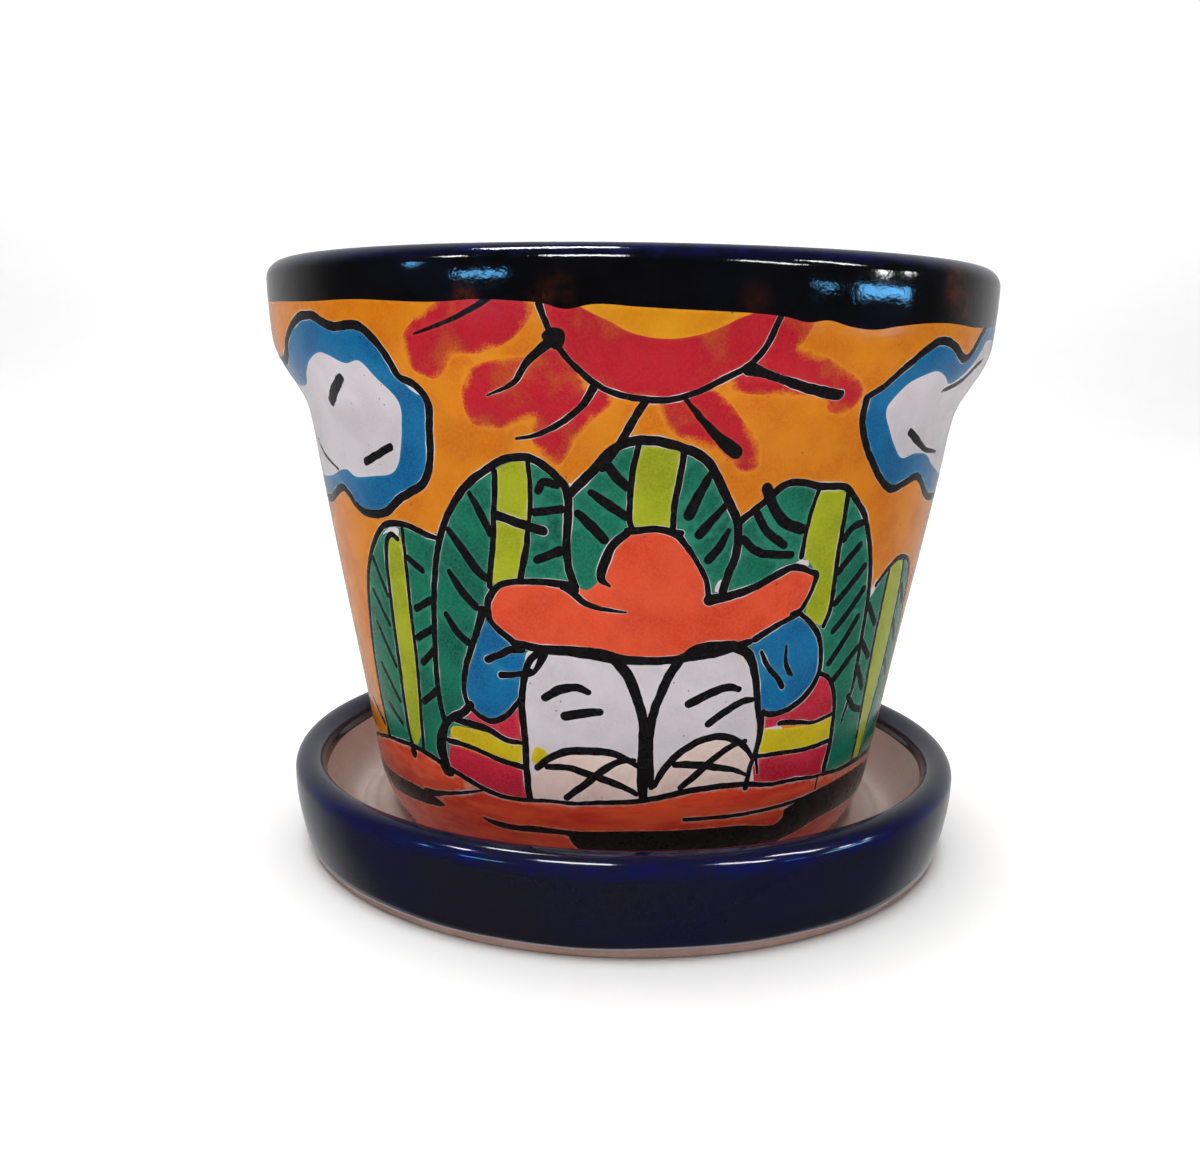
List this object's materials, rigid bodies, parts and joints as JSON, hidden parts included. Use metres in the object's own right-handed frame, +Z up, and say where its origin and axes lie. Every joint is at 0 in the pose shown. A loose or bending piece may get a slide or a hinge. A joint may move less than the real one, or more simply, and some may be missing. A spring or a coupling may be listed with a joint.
{
  "type": "flowerpot with saucer",
  "caption": "Tapered glazed earthenware flowerpot with a thick collar and a drain hole, standing loose in its own round glazed saucer.",
  "frame": {"origin": "middle of the saucer's underside, on the surface that it stands on", "axes": "+Z up along the axis of both turned pieces; +Y from the painted front towards the back; +X to the right as seen from the front"},
  "size_m": [0.165, 0.165, 0.133],
  "materials": {
    "clay": "bare fired earthenware",
    "cobalt_glaze": "gloss glaze",
    "painted_glaze": "gloss glaze over hand-painted colours",
    "terracotta_glaze": "gloss glaze",
    "white_glaze": "satin glaze"
  },
  "bodies": {
    "saucer": {"saucer_body": "clay", "saucer_rim_glaze": "cobalt_glaze", "saucer_floor_glaze": "white_glaze"},
    "pot": {"pot_body": "clay", "pot_rim_glaze": "cobalt_glaze", "pot_wall_glaze": "painted_glaze", "pot_ground_glaze": "terracotta_glaze"}
  },
  "joints": [
    {"name": "pot_lift", "type": "slide", "parent": "saucer", "child": "pot", "axis": [0, 0, 1], "range_m": [0, 0.05]}
  ]
}
